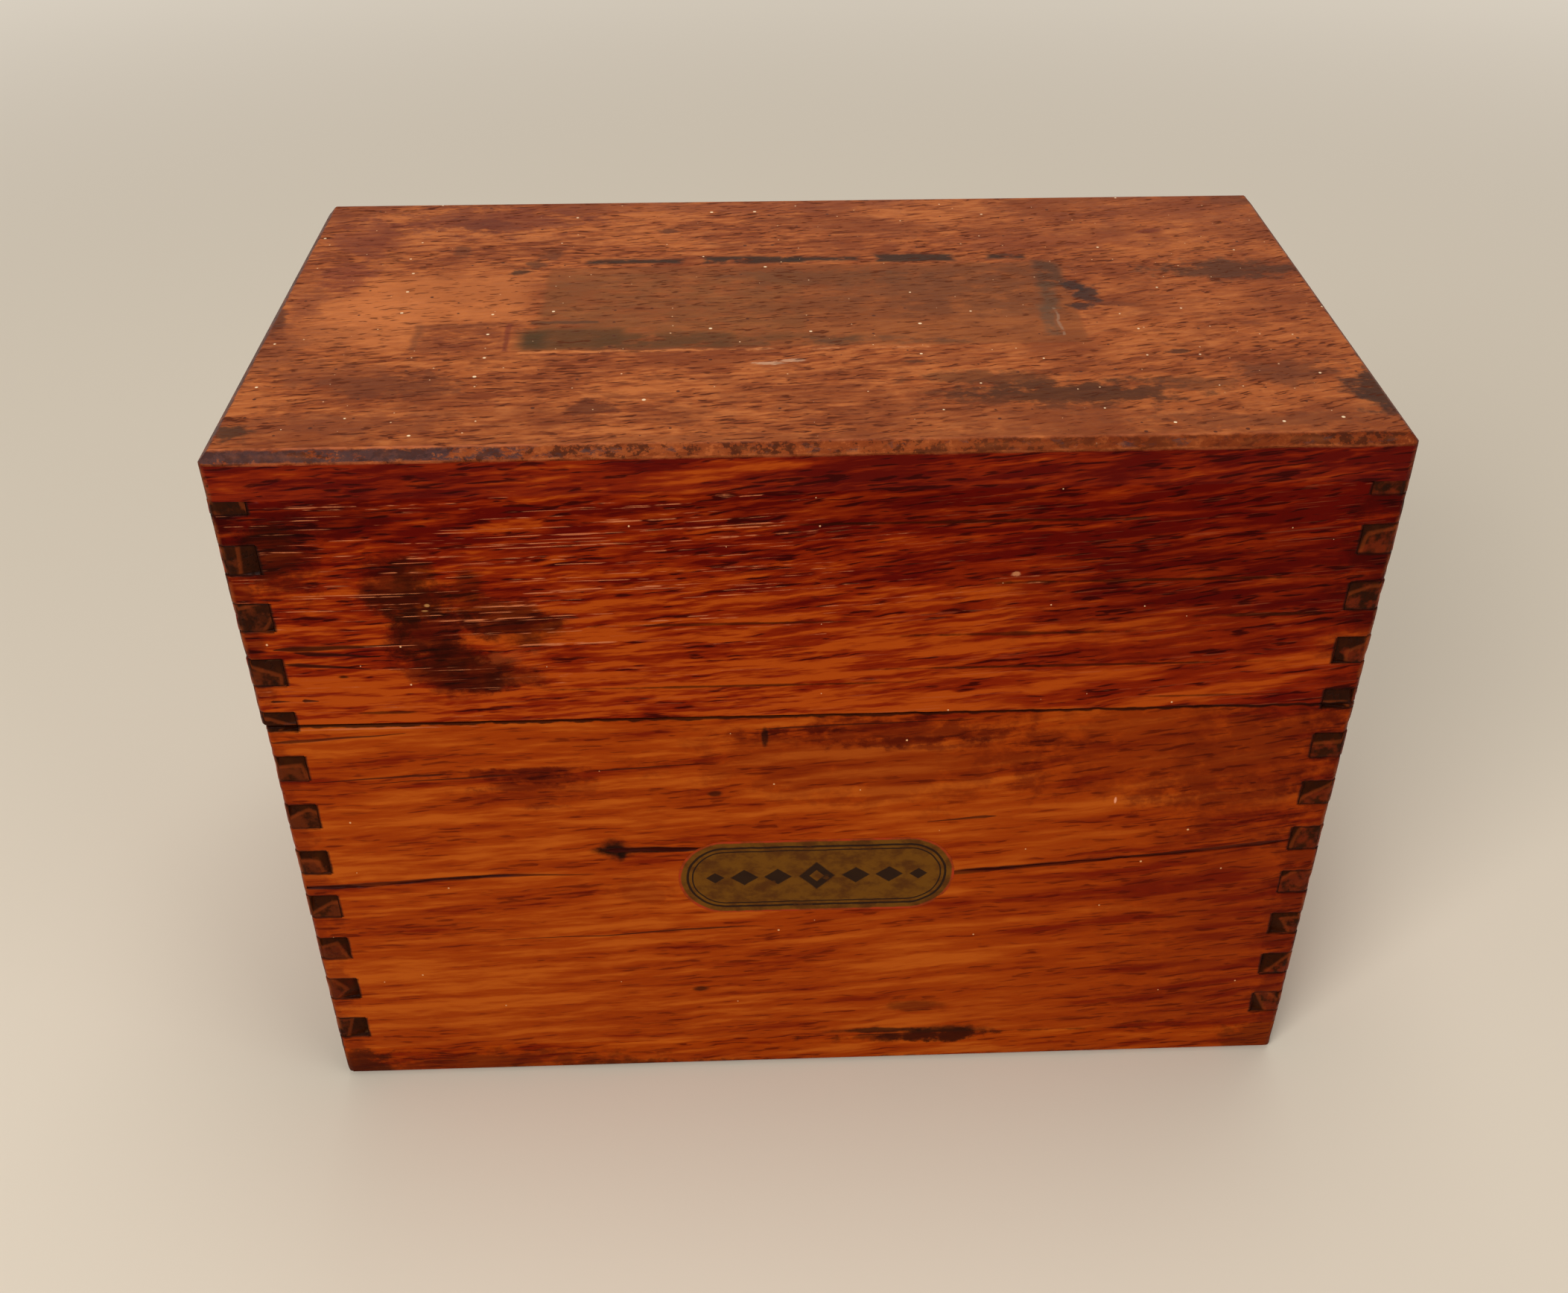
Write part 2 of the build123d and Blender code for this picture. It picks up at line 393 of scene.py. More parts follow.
# Small specks of paint or dust; the vector lies in the plane of the board's face.
specks, given, give = effect(
    "specks",
    {"Vector": "Vector", "Cells": "Float", "Share": "Float", "Radius": "Float"},
    {"Mask": "Float"},
)
cells = scaled(given["Vector"], given["Cells"])
cells = put("TexVoronoi", {"Vector": cells, "Scale": 1.0}, voronoi_dimensions="2D")
draw = put("SeparateColor", {0: cells["Color"]})
picked = step("LESS_THAN")(draw["Red"], given["Share"])
reach = cells["Distance"] / given["Cells"] / (given["Radius"] * (draw["Green"] + 0.4))
give(Mask=picked * (1 - ease(reach, 0.6, 1.0)))


# For each face, the axis that it faces along and how far out it lies.
FACES = {
    "front": (1, FRONT), "back": (1, BACK), "left": (0, LEFT), "right": (0, RIGHT), "top": (2, TOP),
}


def point_on(face, across, up):
    """A point of a face, in mm from the box's middle and the table."""
    axis, level = FACES[face]
    place = [across * MM, up * MM]
    place.insert(axis, level)
    return Vector(place)


# How far in from its face a stain reaches.
DEEP = 9 * MM
# Dirt in the joints' seams; the same colour is painted shade in the gap at the rim.
SEAM_DIRT_AND_RIM_SHADE = tint(26, 6, 2)
BURNT = tint(14, 6, 4)
SPLIT_LIP = tint(66, 12, 2)
SPLIT_DEPTH = tint(44, 5, 1)
DARK_STREAK = tint(52, 12, 3)
END_GRAIN = tint(30, 9, 0)
END_GRAIN_WORN = tint(78, 29, 6)
END_GRAIN_RED = tint(90, 27, 5)
# A painted highlight on the rims of broken-away end grain.
TORN_EDGE_HIGHLIGHT = tint(122, 50, 14)


class Finish:
    """A board's varnished finish: the grain, the joints, bare inner wood and dirt."""

    def __init__(self, name, along, offset, rise=0.0):
        self.along = along
        self.material, self.shader, self.vector = new_finish(name)
        place = coordinates(self.vector)
        self.x, self.y, self.z = (place[axis] for axis in "XYZ")
        if along == "X":
            self.grain_vector = turned(self.vector, offset, (0.0, math.radians(rise), 0.0))
        else:
            self.grain_vector = turned(self.vector, offset)
        if rise:
            self.grain_vector += put("CombineXYZ", {"Z": self.x ** 2.0 * -0.30})[0]
        self.flat = put("CombineXYZ", {0: place[along], 1: self.z})[0]

    def timber(self, colours, bias, soft, fine, dashes, datum=None):
        """The wood itself, its bare faces, painted shade in the gap at its sawn rim, and its joints
        where it has them.
        """
        pale, middle, dark, dash = colours
        self.wood = use(
            grain, Vector=self.grain_vector, Pale=pale, Middle=middle, Dark=dark, Dash=dash,
            Bias=bias, Soft=soft, Fine=fine, Dashes=dashes,
        )
        self.colour, self.height, self.pores = (self.wood[n] for n in ("Color", "Height", "Pores"))
        ends = (1.0, 0.0, 0.0) if self.along == "X" else (0.0, 1.0, 0.0)
        self.skin = use(skin, Vector=self.vector, Ends=ends)
        self.torn = (cloudy(self.vector * (240, 330, 330), 5.0, 0.68) - 0.5) * 3.4
        self.led = astray(self.vector, (55, 20, 20), (0.0, 0.0014, 0.0014))
        self.end_grain()
        # Painted shade: a dark line in the gap at the rim between lid and base.
        self.cover(self.skin["Rim"] * 0.88, SEAM_DIRT_AND_RIM_SHADE)
        self.cover(self.skin["Bare"], self.wood["Bare"])
        self.outside = 1 - self.skin["Bare"]
        if datum is not None:
            across, half = self.vector, RIGHT
            if self.along == "Y":
                across, half = turned(self.vector), BACK
            joint = use(joints, Vector=across, Datum=datum, Half_length=half)
            self.seam = joint["Seam"] * self.outside

    def end_grain(self):
        """Dark end grain, paler in worn patches, with painted shade in the hollows where wood has
        broken away and painted highlights on their rims; redder to the right.
        """
        missing = put("Attribute", {}, self.vector.tree, attribute_name="broken")["Fac"]
        rightward = ease(self.x, 0.0, 0.06)
        lower = ease(self.z, 1.1 * RIM, 0.8 * RIM) * (1.0 - 1.2 * rightward)
        # The deeper the wood has broken away, the darker: painted shade in the hollows.
        broken = cloudy(self.vector * (420, 420, 420), 3.0, 0.6) - 0.45 * missing
        broken = broken + 0.10 * ease(self.x, -0.06, 0.06) + 0.12 * lower - 0.06
        worn = blend(rightward, END_GRAIN_WORN, END_GRAIN_RED)
        end = blend(ease(broken, 0.42, 0.62), END_GRAIN, worn)
        # A painted highlight on the rims of the hollows.
        torn_edge_highlight = ease(missing, 0.02, 0.10) * ease(missing, 0.32, 0.16)
        end = blend(torn_edge_highlight * 0.42, end, TORN_EDGE_HIGHLIGHT)
        self.cover(larger(self.skin["End"], ease(missing, 0.0, 0.1)) * 0.95, end)

    def cover(self, mask, colour, outside_only=False):
        """Lays a colour over the finish where the mask is 1."""
        self.colour = blend(mask * self.outside if outside_only else mask, self.colour, colour)

    def stain_mask(self, face, area, ragged=1.0):
        """A stain: area holds its middle and half size in mm, ragged how torn its edge is."""
        middle = point_on(face, *area[:2])
        half_size = [half * MM for half in area[2:]]
        half_size.insert(FACES[face][0], DEEP)
        torn = self.torn if ragged == 1.0 else self.torn * ragged
        return use(stain, Vector=self.vector, Torn=torn, Middle=middle, Half_size=half_size)["Mask"]

    def stained(self, face, area, colour, strength, ragged=1.0):
        """A stain that hides the wood."""
        self.cover(self.stain_mask(face, area, ragged) * strength, colour, outside_only=True)

    def shaded(self, face, area, shade, strength, ragged=1.0):
        """A stain that darkens the wood and lets its grain show through."""
        self.stained(face, area, self.colour * shade, strength, ragged)

    def cracked(self, face, line, width, colour=DARK_STREAK, strength=0.80):
        """A crack or a scratch, in mm, that closes towards its end: line holds its two points."""
        start, end = point_on(face, *line[:2]), point_on(face, *line[2:])
        mask = use(crack, Vector=self.led, From=start, To=end, Width=width * MM)["Mask"]
        self.cover(mask * strength, colour, outside_only=True)
        self.height -= mask * 2.0

    def specked(self, cells, share, radius, colour):
        """Specks, with cells to the metre, the share that have one, and their size in mm."""
        mask = use(specks, Vector=self.flat, Cells=cells, Share=share, Radius=radius * MM)["Mask"]
        self.cover(mask, colour, outside_only=True)

    def seal(self, worn, gloss, dull):
        """Dirt in the seams, worn arrises, roughness and relief, and the shader's own values."""
        self.cover(self.skin["Arris"] * 0.7, worn)
        if hasattr(self, "seam"):
            split = put("Attribute", {}, self.vector.tree, attribute_name="split")["Fac"]
            self.cover(self.seam * 0.93, SEAM_DIRT_AND_RIM_SHADE)
            self.cover(ease(split, 0.02, 0.46) * 0.65, SPLIT_LIP)
            self.cover(ease(split, 0.30, 0.52) * 0.97, SPLIT_DEPTH)
            self.height -= self.seam * 1.5
        rough = 0.35 * self.skin["Bare"] + 0.25 * self.pores + 0.06 * self.torn + dull
        relief = put("Bump", {"Height": self.height, "Distance": RELIEF})[0]
        feed(self.shader, {"Base Color": self.colour, "Roughness": rough, "Normal": relief,
                           "Specular IOR Level": gloss})
        return self.material


def board_shape(node):
    """A board's own solid as a clean mesh: doubles merged and flat faces whole."""
    shape = bmesh.new()
    shape.from_mesh(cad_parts[node].data)
    bmesh.ops.remove_doubles(shape, verts=shape.verts, dist=0.002 * MM)
    bmesh.ops.dissolve_limit(
        shape, angle_limit=math.radians(1), verts=shape.verts, edges=shape.edges
    )
    return shape


PLANED = (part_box("base_bottom_board")[1].z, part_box("lid_top_board")[0].z)


def ease_arrises(shape, width, segments=2):
    """Rounds the sharp edges a little, but not where boards were planed flush together."""
    sharp = []
    for edge in shape.edges:
        planed = any(
            all(abs(v.co.z - level) < 0.05 * MM for v in edge.verts) for level in PLANED
        )
        outer = min(RIGHT - abs(edge.verts[0].co.x), BACK - abs(edge.verts[0].co.y)) < 0.05 * MM
        if edge.is_manifold and edge.is_convex and edge.calc_face_angle() > math.radians(20):
            if not (planed and outer):
                sharp.append(edge)
    bmesh.ops.bevel(
        shape, geom=sharp, offset=width, offset_type="OFFSET", segments=segments,
        profile=0.5, affect="EDGES", material=-1, clamp_overlap=True,
    )


def slice_across(shape, normal, start, end, spacing):
    """Cuts the mesh across at even steps, so that it can be worn between its corners."""
    place = start + spacing / 2
    while place < end:
        everything = shape.verts[:] + shape.edges[:] + shape.faces[:]
        bmesh.ops.bisect_plane(
            shape, geom=everything, plane_co=Vector(normal) * place, plane_no=normal,
            dist=0.01 * MM,
        )
        place += spacing


def broken_end(spot, seed):
    """How far a finger's end is broken away there: most lost wood at the top, inward side."""
    datum = LID_JOINT_DATUM if spot.z > RIM else BASE_JOINT_DATUM
    turns = (datum - spot.z) / FINGER
    up = 1 - 2 * (turns % 1)
    inward = 2 * (RIGHT - abs(spot.x)) / WALL - 1
    broken = 0.0
    for facet in range(2):
        place = Vector((math.floor(turns) + 0.5, seed, 5.5 * facet + (spot.x > 0)))
        turn = math.radians(45) + 1.6 * noise.cell(place)
        lean = up * math.cos(turn) + inward * math.sin(turn)
        broken = max(broken, lean - 0.25 - 0.5 * noise.cell(place * 3.3))
    return broken


EASED = 0.12 * MM
SURFACE = 0.5 * MM
ARRIS_REACH = 0.8 * MM
ROUNDED = 1.7 * MM
LEAN = 0.4 * MM
LEAN_REACH = 2.0 * MM


def wear(shape, ends, seed):
    """Rubs the arrises down unevenly, and breaks and sinks the end grain that ends names."""
    broken_layer = shape.verts.layers.float.new("broken")
    for vert in shape.verts:
        spot = vert.co.copy()
        gaps = (RIGHT - abs(spot.x), BACK - abs(spot.y), min(spot.z, TOP - spot.z))
        inward = Vector((-math.copysign(1, spot.x), -math.copysign(1, spot.y),
                         -1.0 if spot.z > TOP / 2 else 1.0))
        order = sorted(gaps)
        lump = noise.noise(spot * 170 + Vector((seed, 0, 0)))
        nick = noise.noise(spot * 700 + Vector((0, seed, 0)))
        if order[0] < SURFACE and order[1] < ARRIS_REACH:
            rubbed = (0.10 + 0.14 * max(0.0, lump) + 0.10 * max(0.0, nick)) * MM
            for axis in range(3):
                if gaps[axis] < ARRIS_REACH:
                    vert.co[axis] += inward[axis] * rubbed
        if order[0] < SURFACE and abs(spot.z - RIM) < 0.2 * MM:
            nicked = (0.04 + 0.22 * max(0.0, nick)) * MM
            axis = gaps.index(order[0])
            vert.co[axis] += inward[axis] * nicked
        axis = "XY".index(ends)
        if gaps[axis] < 0.02 * MM and order[1] > 0.2 * MM:
            sunk = 0.05 + 0.06 * noise.noise(spot * 460 + Vector((0, 0, seed))) + 0.04 * nick
            if ends == "Y":
                vert[broken_layer] = broken_end(spot, seed)
                sunk += 0.60 * vert[broken_layer]
            vert.co[axis] += inward[axis] * sunk * MM
        from_foot = Vector((ROUNDED - gaps[0], ROUNDED - spot.z))
        if from_foot.length > ROUNDED and min(from_foot) > 0:
            from_foot *= 1 - ROUNDED / from_foot.length
            vert.co += Vector((inward.x * from_foot.x, 0, from_foot.y))
        if spot.x < 0 and spot.z < RIM + 0.01 * MM and gaps[0] < LEAN_REACH:
            vert.co.x += LEAN * (spot.z / RIM) ** 2 * (1 - gaps[0] / LEAN_REACH)


def fit(shape, name, node, body, finish, sharp=50):
    """Makes the mesh a piece that stands for a CAD node and rides on its body."""
    bmesh.ops.recalc_face_normals(shape, faces=shape.faces)
    piece = add_mesh(name, shape, finish)
    piece.data.shade_smooth()
    piece.data.set_sharp_from_angle(angle=math.radians(sharp))
    even = piece.modifiers.new("even_shading", "WEIGHTED_NORMAL")
    even.keep_sharp = True
    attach(piece, body)
    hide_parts(node)
    return piece


SPLIT_REACH = 2.5 * MM
SPLIT_EDGE = 0.3 * MM


def split_open(shape, path, width, depth, shut):
    """Opens a split along points of the front: a groove, shut at the start or the end or both.

    Its layer is 1 at the groove's bottom, a half at its lips and 0 a little beyond them.
    """
    layer = shape.verts.layers.float.get("split") or shape.verts.layers.float.new("split")
    start, run = path[0], path[-1] - path[0]
    normal = Vector((-run.z, 0, run.x)).normalized()
    lip = 0.5 * width
    rows = (-lip - SPLIT_EDGE, -lip, 0.0, lip, lip + SPLIT_EDGE)

    def located(spot):
        along = (spot - start).dot(run) / run.length_squared
        return along, (spot - start).dot(normal)

    def faces_front(spot):
        return spot.y < FRONT + 0.01 * MM

    for row in rows:
        near = [f for f in shape.faces if all(
            faces_front(v.co) and -0.02 < located(v.co)[0] < 1.02 for v in f.verts)]
        edges = {edge for face in near for edge in face.edges}
        verts = {vert for face in near for vert in face.verts}
        bmesh.ops.bisect_plane(
            shape, geom=[*verts, *edges, *near], plane_co=start + normal * row, plane_no=normal,
            dist=0.001 * MM,
        )
    for vert in shape.verts:
        along, off = located(vert.co)
        if not faces_front(vert.co) or not 0 <= along <= 1 or abs(off) > SPLIT_REACH:
            continue
        gape = 0.75 + 0.5 * noise.noise(vert.co * 160)
        gape *= min(1.0, along / 0.10) if "start" in shut else 1.0
        gape *= min(1.0, (1 - along) / 0.25) if "end" in shut else 1.0
        if abs(off) < 0.01 * MM:
            vert.co.y += depth * gape
            vert[layer] = max(vert[layer], gape)
        elif abs(off) < 0.55 * width:
            vert.co -= normal * off * (1 - gape)
            vert[layer] = max(vert[layer], 0.5 * gape)
        at = along * (len(path) - 1)
        corner = min(int(at), len(path) - 2)
        bend = path[corner].lerp(path[corner + 1], at - corner)
        moved = (bend - start).dot(normal) + 0.22 * MM * noise.noise(vert.co * 330)
        vert.co += normal * moved * (1 - abs(off) / SPLIT_REACH)


def cross_board(name, node, body, finish, seed, splits=()):
    """A front or back wall: eased, sliced fine enough for its ends' wear, split and worn."""
    shape = board_shape(node)
    ease_arrises(shape, EASED)
    slice_across(shape, (1, 0, 0), LEFT, RIGHT, 2.0 * MM)
    slice_across(shape, (0, 0, 1), *WALLS[body], 1.1 * MM)
    for path, width, depth, shut in splits:
        path = [point_on("front", *place) for place in path]
        split_open(shape, path, width * MM, depth * MM, shut)
    wear(shape, "X", seed)
    return fit(shape, name, node, body, finish)


BASE_COLOURS = (tint(168, 76, 14), tint(143, 51, 3), tint(108, 23, 1), tint(72, 8, 0))
ARRIS_WORN = tint(132, 60, 22)
BASE_SHADE = (0.42, 0.24, 0.5)

finish = Finish("base_front_varnish", "X", (0.31, 0.17, 0.05), 4.6)
darker = 0.24 * ease(finish.x, 0.0, 0.07) - 0.08
fine = 1.20 - 0.45 * ease(finish.x, -0.010, 0.040)
finish.timber(BASE_COLOURS, darker, 1.5, fine, 0.62, BASE_JOINT_DATUM)
# Dirt that darkens the wood under the saw line, left and right of it, at the ends and the foot.
for *area, strength in (
    (8.5, 66, 16, 2.4, 0.6),
    (-1, 66.4, 6.5, 0.7, 0.75),
    (11, 64, 9, 0.9, 0.75),
    (17, 63, 7, 0.6, 0.6),
    (34, 63.2, 8, 0.6, 0.55),
    (8, 61, 26, 8, 0.38),
    (50, 62, 24, 9, 0.4),
    (-10, 2, 80, 3, 0.3),
    (-41.5, 60.2, 10, 0.9, 0.8),
    (-37, 60.7, 7.5, 0.5, 0.65),
    (-40.5, 57.6, 6, 0.7, 0.65),
    (-35.5, 58.9, 5, 0.6, 0.6),
    (-36.8, 54.1, 3.6, 0.5, 0.6),
    (-38, 56.8, 8, 3, 0.38),
    (-24, 38, 4, 3, 0.35),
    (62, 58, 14, 12, 0.35),
    (60, 30, 16, 26, 0.25),
    (-73, 34, 4, 40, 0.5),
    (73, 36, 6, 40, 0.6),
    (30, 4, 36, 3, 0.3),
):
    finish.shaded("front", area, BASE_SHADE, strength)
# A knot with its dark tail, and scorched spots by the foot and the rim.
for *area, strength in (
    (-13.7, 55.7, 1.2, 0.6, 0.75),
    (-17, 17.4, 1.5, 0.7, 0.75),
    (-6.7, 65.6, 0.5, 1.9, 0.8),
    (-28.2, 45.8, 3.2, 1.05, 0.95),
    (-28, 45.7, 2.4, 2, 0.85),
    (-27.2, 45.2, 0.9, 1.5, 0.9),
    (-22, 45.6, 8, 0.48, 0.95),
    (20, 6, 8.4, 1.7, 0.9),
    (10, 7, 9, 0.6, 0.8),
    (15.6, 12.2, 5, 1.4, 0.45),
):
    finish.stained("front", area, BURNT, strength, 0.4)
# Cracks and dark lines of the grain, from their open end to their fine one.
for *line, width in (
    (25.6, 50.5, 15.8, 49.8, 0.38),
    (-49, 60.3, -69, 59.4, 0.3),
    (-39.8, 60, -62, 58.8, 0.22),
    (-30, 60.4, -14, 61, 0.2),
    (-9, 30.3, -46, 28.5, 0.28),
    (-72.6, 66.3, -54, 67.5, 0.4),
    (-8, 66.9, 20, 67.6, 0.24),
    (16, 39.6, 50, 42.6, 0.7),
    (68, 44.4, 44, 41.9, 0.6),
    (-72.7, 40, -46, 41.4, 0.6),
    (-52, 41.1, -31, 41.6, 0.4),
):
    finish.cracked("front", line, width)
# A painted highlight: a pale line just under the rim at the left, where the base's arris catches the
# light.
finish.stained("front", (-60.0, 68.3, 13.0, 0.16), tint(176, 92, 52), 0.75, 0.6)
finish.specked(170, 0.14, 0.14, tint(206, 152, 104))
finish.stained("front", (42.1, 52.8, 0.20, 0.62), tint(226, 150, 112), 0.85, 0.15)
base_front_varnish = finish.seal(ARRIS_WORN, 0.03, 0.42)
cross_board(
    "front_wall_of_base", "base_front_wall", "base", base_front_varnish, 3.1,
    (
        (((-72.7, 40.1), (-63.3, 40.0), (-55.2, 40.9), (-45.0, 41.5), (-36.0, 41.5)),
         0.46, 0.6, ("end",)),
        (((18.0, 39.8), (28.0, 40.6), (38.0, 41.4), (48.0, 42.2), (58.0, 42.9), (68.0, 44.5)),
         0.46, 0.6, ("start",)),
        (((-30.4, 45.6), (-27.0, 45.9), (-22.0, 45.6), (-14.0, 45.8)),
         0.80, 0.7, ("start", "end")),
    ),
)

# ---------------------------------------------------------------- base side walls
# Two boards of the same hardwood with the grain from front to back. Each end is cut to
# fingers that pass between those of the front and back walls and show their end grain.


def side_board(name, node, body, finish, side, seed):
    """A side wall: eased, sliced fine where its fingers' ends show, and worn."""
    shape = board_shape(node)
    ease_arrises(shape, EASED)
    slice_across(shape, (0, 1, 0), FRONT, BACK, 3.0 * MM)
    slice_across(shape, (0, 0, 1), *WALLS[body], 0.6 * MM)
    inner, outer = sorted((side * (RIGHT - WALL), side * RIGHT))
    slice_across(shape, (1, 0, 0), inner, outer, 0.6 * MM)
    wear(shape, "Y", seed)
    return fit(shape, name, node, body, finish)


finish = Finish("base_side_varnish", "Y", (0.52, 0.83, 0.21))
finish.timber(BASE_COLOURS, 0.08, 1.6, 0.9, 0.7, BASE_JOINT_DATUM)
for face, *area, strength in (
    ("left", 0, 20, 40, 14, 0.35),
    ("right", 10, 50, 30, 10, 0.35),
    ("left", 5, 2, 60, 5, 0.45),
    ("right", 5, 2, 60, 5, 0.45),
):
    finish.stained(face, area, tint(84, 16, 3), strength)
finish.cracked("right", (-41, 30, -6, 31), 0.35)
finish.cracked("left", (38, 52, 2, 51), 0.32)
finish.specked(170, 0.08, 0.2, tint(208, 165, 124))
base_side_varnish = finish.seal(ARRIS_WORN, 0.04, 0.42)
side_board("left_wall_of_base", "base_left_wall", "base", base_side_varnish, -1, 5.3)
side_board("right_wall_of_base", "base_right_wall", "base", base_side_varnish, 1, 8.9)

# ---------------------------------------------------------------- base back wall
# The same board as the front's, its ends cut to sockets and glued on the same fingers. Two
# shallow mortises at its rim take the lower leaves of the hinges.

finish = Finish("base_back_varnish", "X", (0.77, 0.39, 0.64))
finish.timber(BASE_COLOURS, 0.06, 1.6, 0.9, 0.7, BASE_JOINT_DATUM)
finish.stained("back", (0, 3, 90, 6), tint(84, 16, 3), 0.45)
finish.stained("back", (30, 36, 30, 9), tint(88, 18, 3), 0.35)
finish.cracked("back", (66, 25, 18, 27), 0.36)
finish.specked(170, 0.08, 0.2, tint(208, 165, 124))
base_back_varnish = finish.seal(ARRIS_WORN, 0.09, 0.42)
cross_board("back_wall_of_base", "base_back_wall", "base", base_back_varnish, 12.4)

# ---------------------------------------------------------------- bottom board
# A 1/4 inch board of the same hardwood, glued on under the walls and planed flush with them.
# Its lower edges are rounded by wear, and dirt has gathered along its front.

WORN_REACH = 2.4 * MM

finish = Finish("bottom_board_varnish", "X", (0.31, 0.17, 0.05), 4.6)
finish.timber(BASE_COLOURS, 0.06, 1.5, 1.2, 0.7)
for *area, strength in (
    (-71, 2, 6, 4, 0.75),
    (-30, 0.6, 16, 1.4, 0.5),
    (-52, 1.6, 26, 3.2, 0.48),
    (14, 5.6, 13, 1.3, 0.6),
    (20, 5.6, 9, 1.5, 0.9),
    (30, 6.4, 34, 0.6, 0.6),
    (-10, 0.2, 90, 0.9, 0.6),
    (71, 2, 8, 8, 0.5),
):
    finish.stained("front", area, tint(50, 14, 4), strength)
bottom_varnish = finish.seal(ARRIS_WORN, 0.03, 0.44)
shape = board_shape("base_bottom_board")
ease_arrises(shape, 0.25 * MM)
slice_across(shape, (1, 0, 0), LEFT, RIGHT, 2.5 * MM)
slice_across(shape, (1, 0, 0), LEFT, LEFT + WORN_REACH, 0.4 * MM)
slice_across(shape, (1, 0, 0), RIGHT - WORN_REACH, RIGHT, 0.4 * MM)
slice_across(shape, (0, 1, 0), FRONT, BACK, 2.5 * MM)
slice_across(shape, (0, 0, 1), 0.0, WORN_REACH, 0.4 * MM)
wear(shape, "X", 15.7)
fit(shape, "bottom_board", "base_bottom_board", "base", bottom_varnish)

# ---------------------------------------------------------------- liners
# Three thin slats of bare wood stand inside the front and side walls and rise above the
# rim, so that the lid comes down over them. They are glued in and rounded at the top.


def liner_finish(name, along, offset):
    """Bare wood, darkened by hands along the lip that stands above the rim."""
    material, shader, vector = new_finish(name)
    turn = QUARTER_TURN if along == "Y" else 0.0
    grain_vector = turned(vector, offset, (0.0, 0.0, turn))
    wood = use(grain, Vector=grain_vector, Bias=0.0, Soft=1.4, Fine=0.9, Dashes=0.6)
    place = coordinates(vector)
    smudge = cloudy(vector * (60, 60, 110), 3.0, 0.6)
    lip = ease(place["Z"], RIM - 3 * MM, RIM + 6 * MM) * ease(smudge, 0.35, 0.65)
    relief = put("Bump", {"Height": wood["Height"], "Distance": 0.06 * MM})[0]
    feed(shader, {
        "Base Color": blend(lip * 0.6, wood["Bare"], tint(110, 62, 32)),
        "Roughness": 0.72 - 0.2 * lip, "Normal": relief, "Specular IOR Level": 0.3,
    })
    return material


liner_along = liner_finish("liner_wood_along", "X", (0.21, 0.42, 0.97))
liner_deep = liner_finish("liner_wood_deep", "Y", (0.63, 0.22, 0.37))
for name, node, finish in (
    ("slat_inside_front", "front_liner", liner_along),
    ("slat_inside_left", "left_liner", liner_deep),
    ("slat_inside_right", "right_liner", liner_deep),
):
    shape = board_shape(node)
    ease_arrises(shape, 0.15 * MM)
    fit(shape, name, node, "base", finish)

# ---------------------------------------------------------------- lid front wall
# The lid was sawn from the glued box, so this board goes on from the base's front wall.
# It is redder and more streaked, with dark spots left by wet fingers, and dust and painted glints in
# its pores.

LID_COLOURS = (tint(158, 62, 8), tint(120, 28, 1), tint(82, 5, 0), tint(46, 1, 0))
LID_SHADE = (0.34, 0.22, 0.6)

finish = Finish("lid_front_varnish", "X", (0.44, 0.07, 0.02), 5.0)
darker = 0.50 * ease(finish.z, 70 * MM, 104 * MM) - 0.28
darker = 0.24 * ease(finish.x, 0.0, 0.075) + darker
broader = ease(finish.x, -0.01, 0.05)
calm = broader * ease(finish.z, 96 * MM, 74 * MM)
fine = 2.6 - 0.6 * calm - 0.8 * broader
finish.timber(LID_COLOURS, darker, broader + 0.9, fine, 0.90, LID_JOINT_DATUM)
# Blotches left of the middle, and dirt that darkens the ends, the top and the right.
for *area, strength in (
    (-65.6, 94.6, 5.4, 6.2, 0.82),
    (-52, 89.5, 5.4, 5, 0.9),
    (-39.5, 85, 7.4, 3.8, 0.75),
    (-46, 78, 8, 4.4, 0.84),
    (-48.5, 83.5, 6, 4.4, 0.96),
    (-38.5, 76.5, 4, 2.4, 0.7),
    (-50.5, 86.5, 4, 1.6, 0.7),
    (-42, 75.4, 5, 1.6, 0.6),
    (-73, 90, 4, 22, 0.7),
    (73, 90, 6, 22, 0.6),
    (2, 100.5, 36, 2.8, 0.2),
    (50, 88, 28, 11, 0.25),
    (-62, 100.5, 14, 3.4, 0.5),
):
    finish.shaded("front", area, LID_SHADE, strength, 0.75)
# The blotches' darkest parts, dark specks, and long dark lines of the grain.
for *area, strength in (
    (-50.8, 87.8, 6.6, 4.2, 0.62),
    (-49.6, 92, 2.8, 2.8, 0.55),
    (-43.2, 90, 2.2, 2.8, 0.48),
    (-37.4, 84, 6.4, 3.2, 0.52),
    (-42.8, 87.4, 4, 2.2, 0.45),
    (-47.6, 80.4, 5.6, 3.2, 0.42),
    (-43.6, 77, 7, 2.8, 0.4),
    (-66.2, 95.6, 3.4, 4.6, 0.45),
    (-60.9, 76.8, 0.8, 0.3, 0.9),
    (-56, 70.9, 4.6, 0.26, 0.7),
    (42.9, 103.6, 2.4, 0.7, 0.85),
    (-10, 74, 24, 0.2, 0.7),
    (34, 76.2, 28, 0.22, 0.75),
    (44, 89.2, 22, 0.26, 0.75),
    (20, 98.2, 30, 0.26, 0.75),
    (-10, 83.8, 18, 0.24, 0.7),
    (26, 81.4, 16, 0.3, 0.7),
    (58, 83.6, 9, 0.34, 0.8),
    (52, 70.8, 10, 0.2, 0.6),
):
    finish.stained("front", area, tint(38, 8, 0), strength, 0.5)
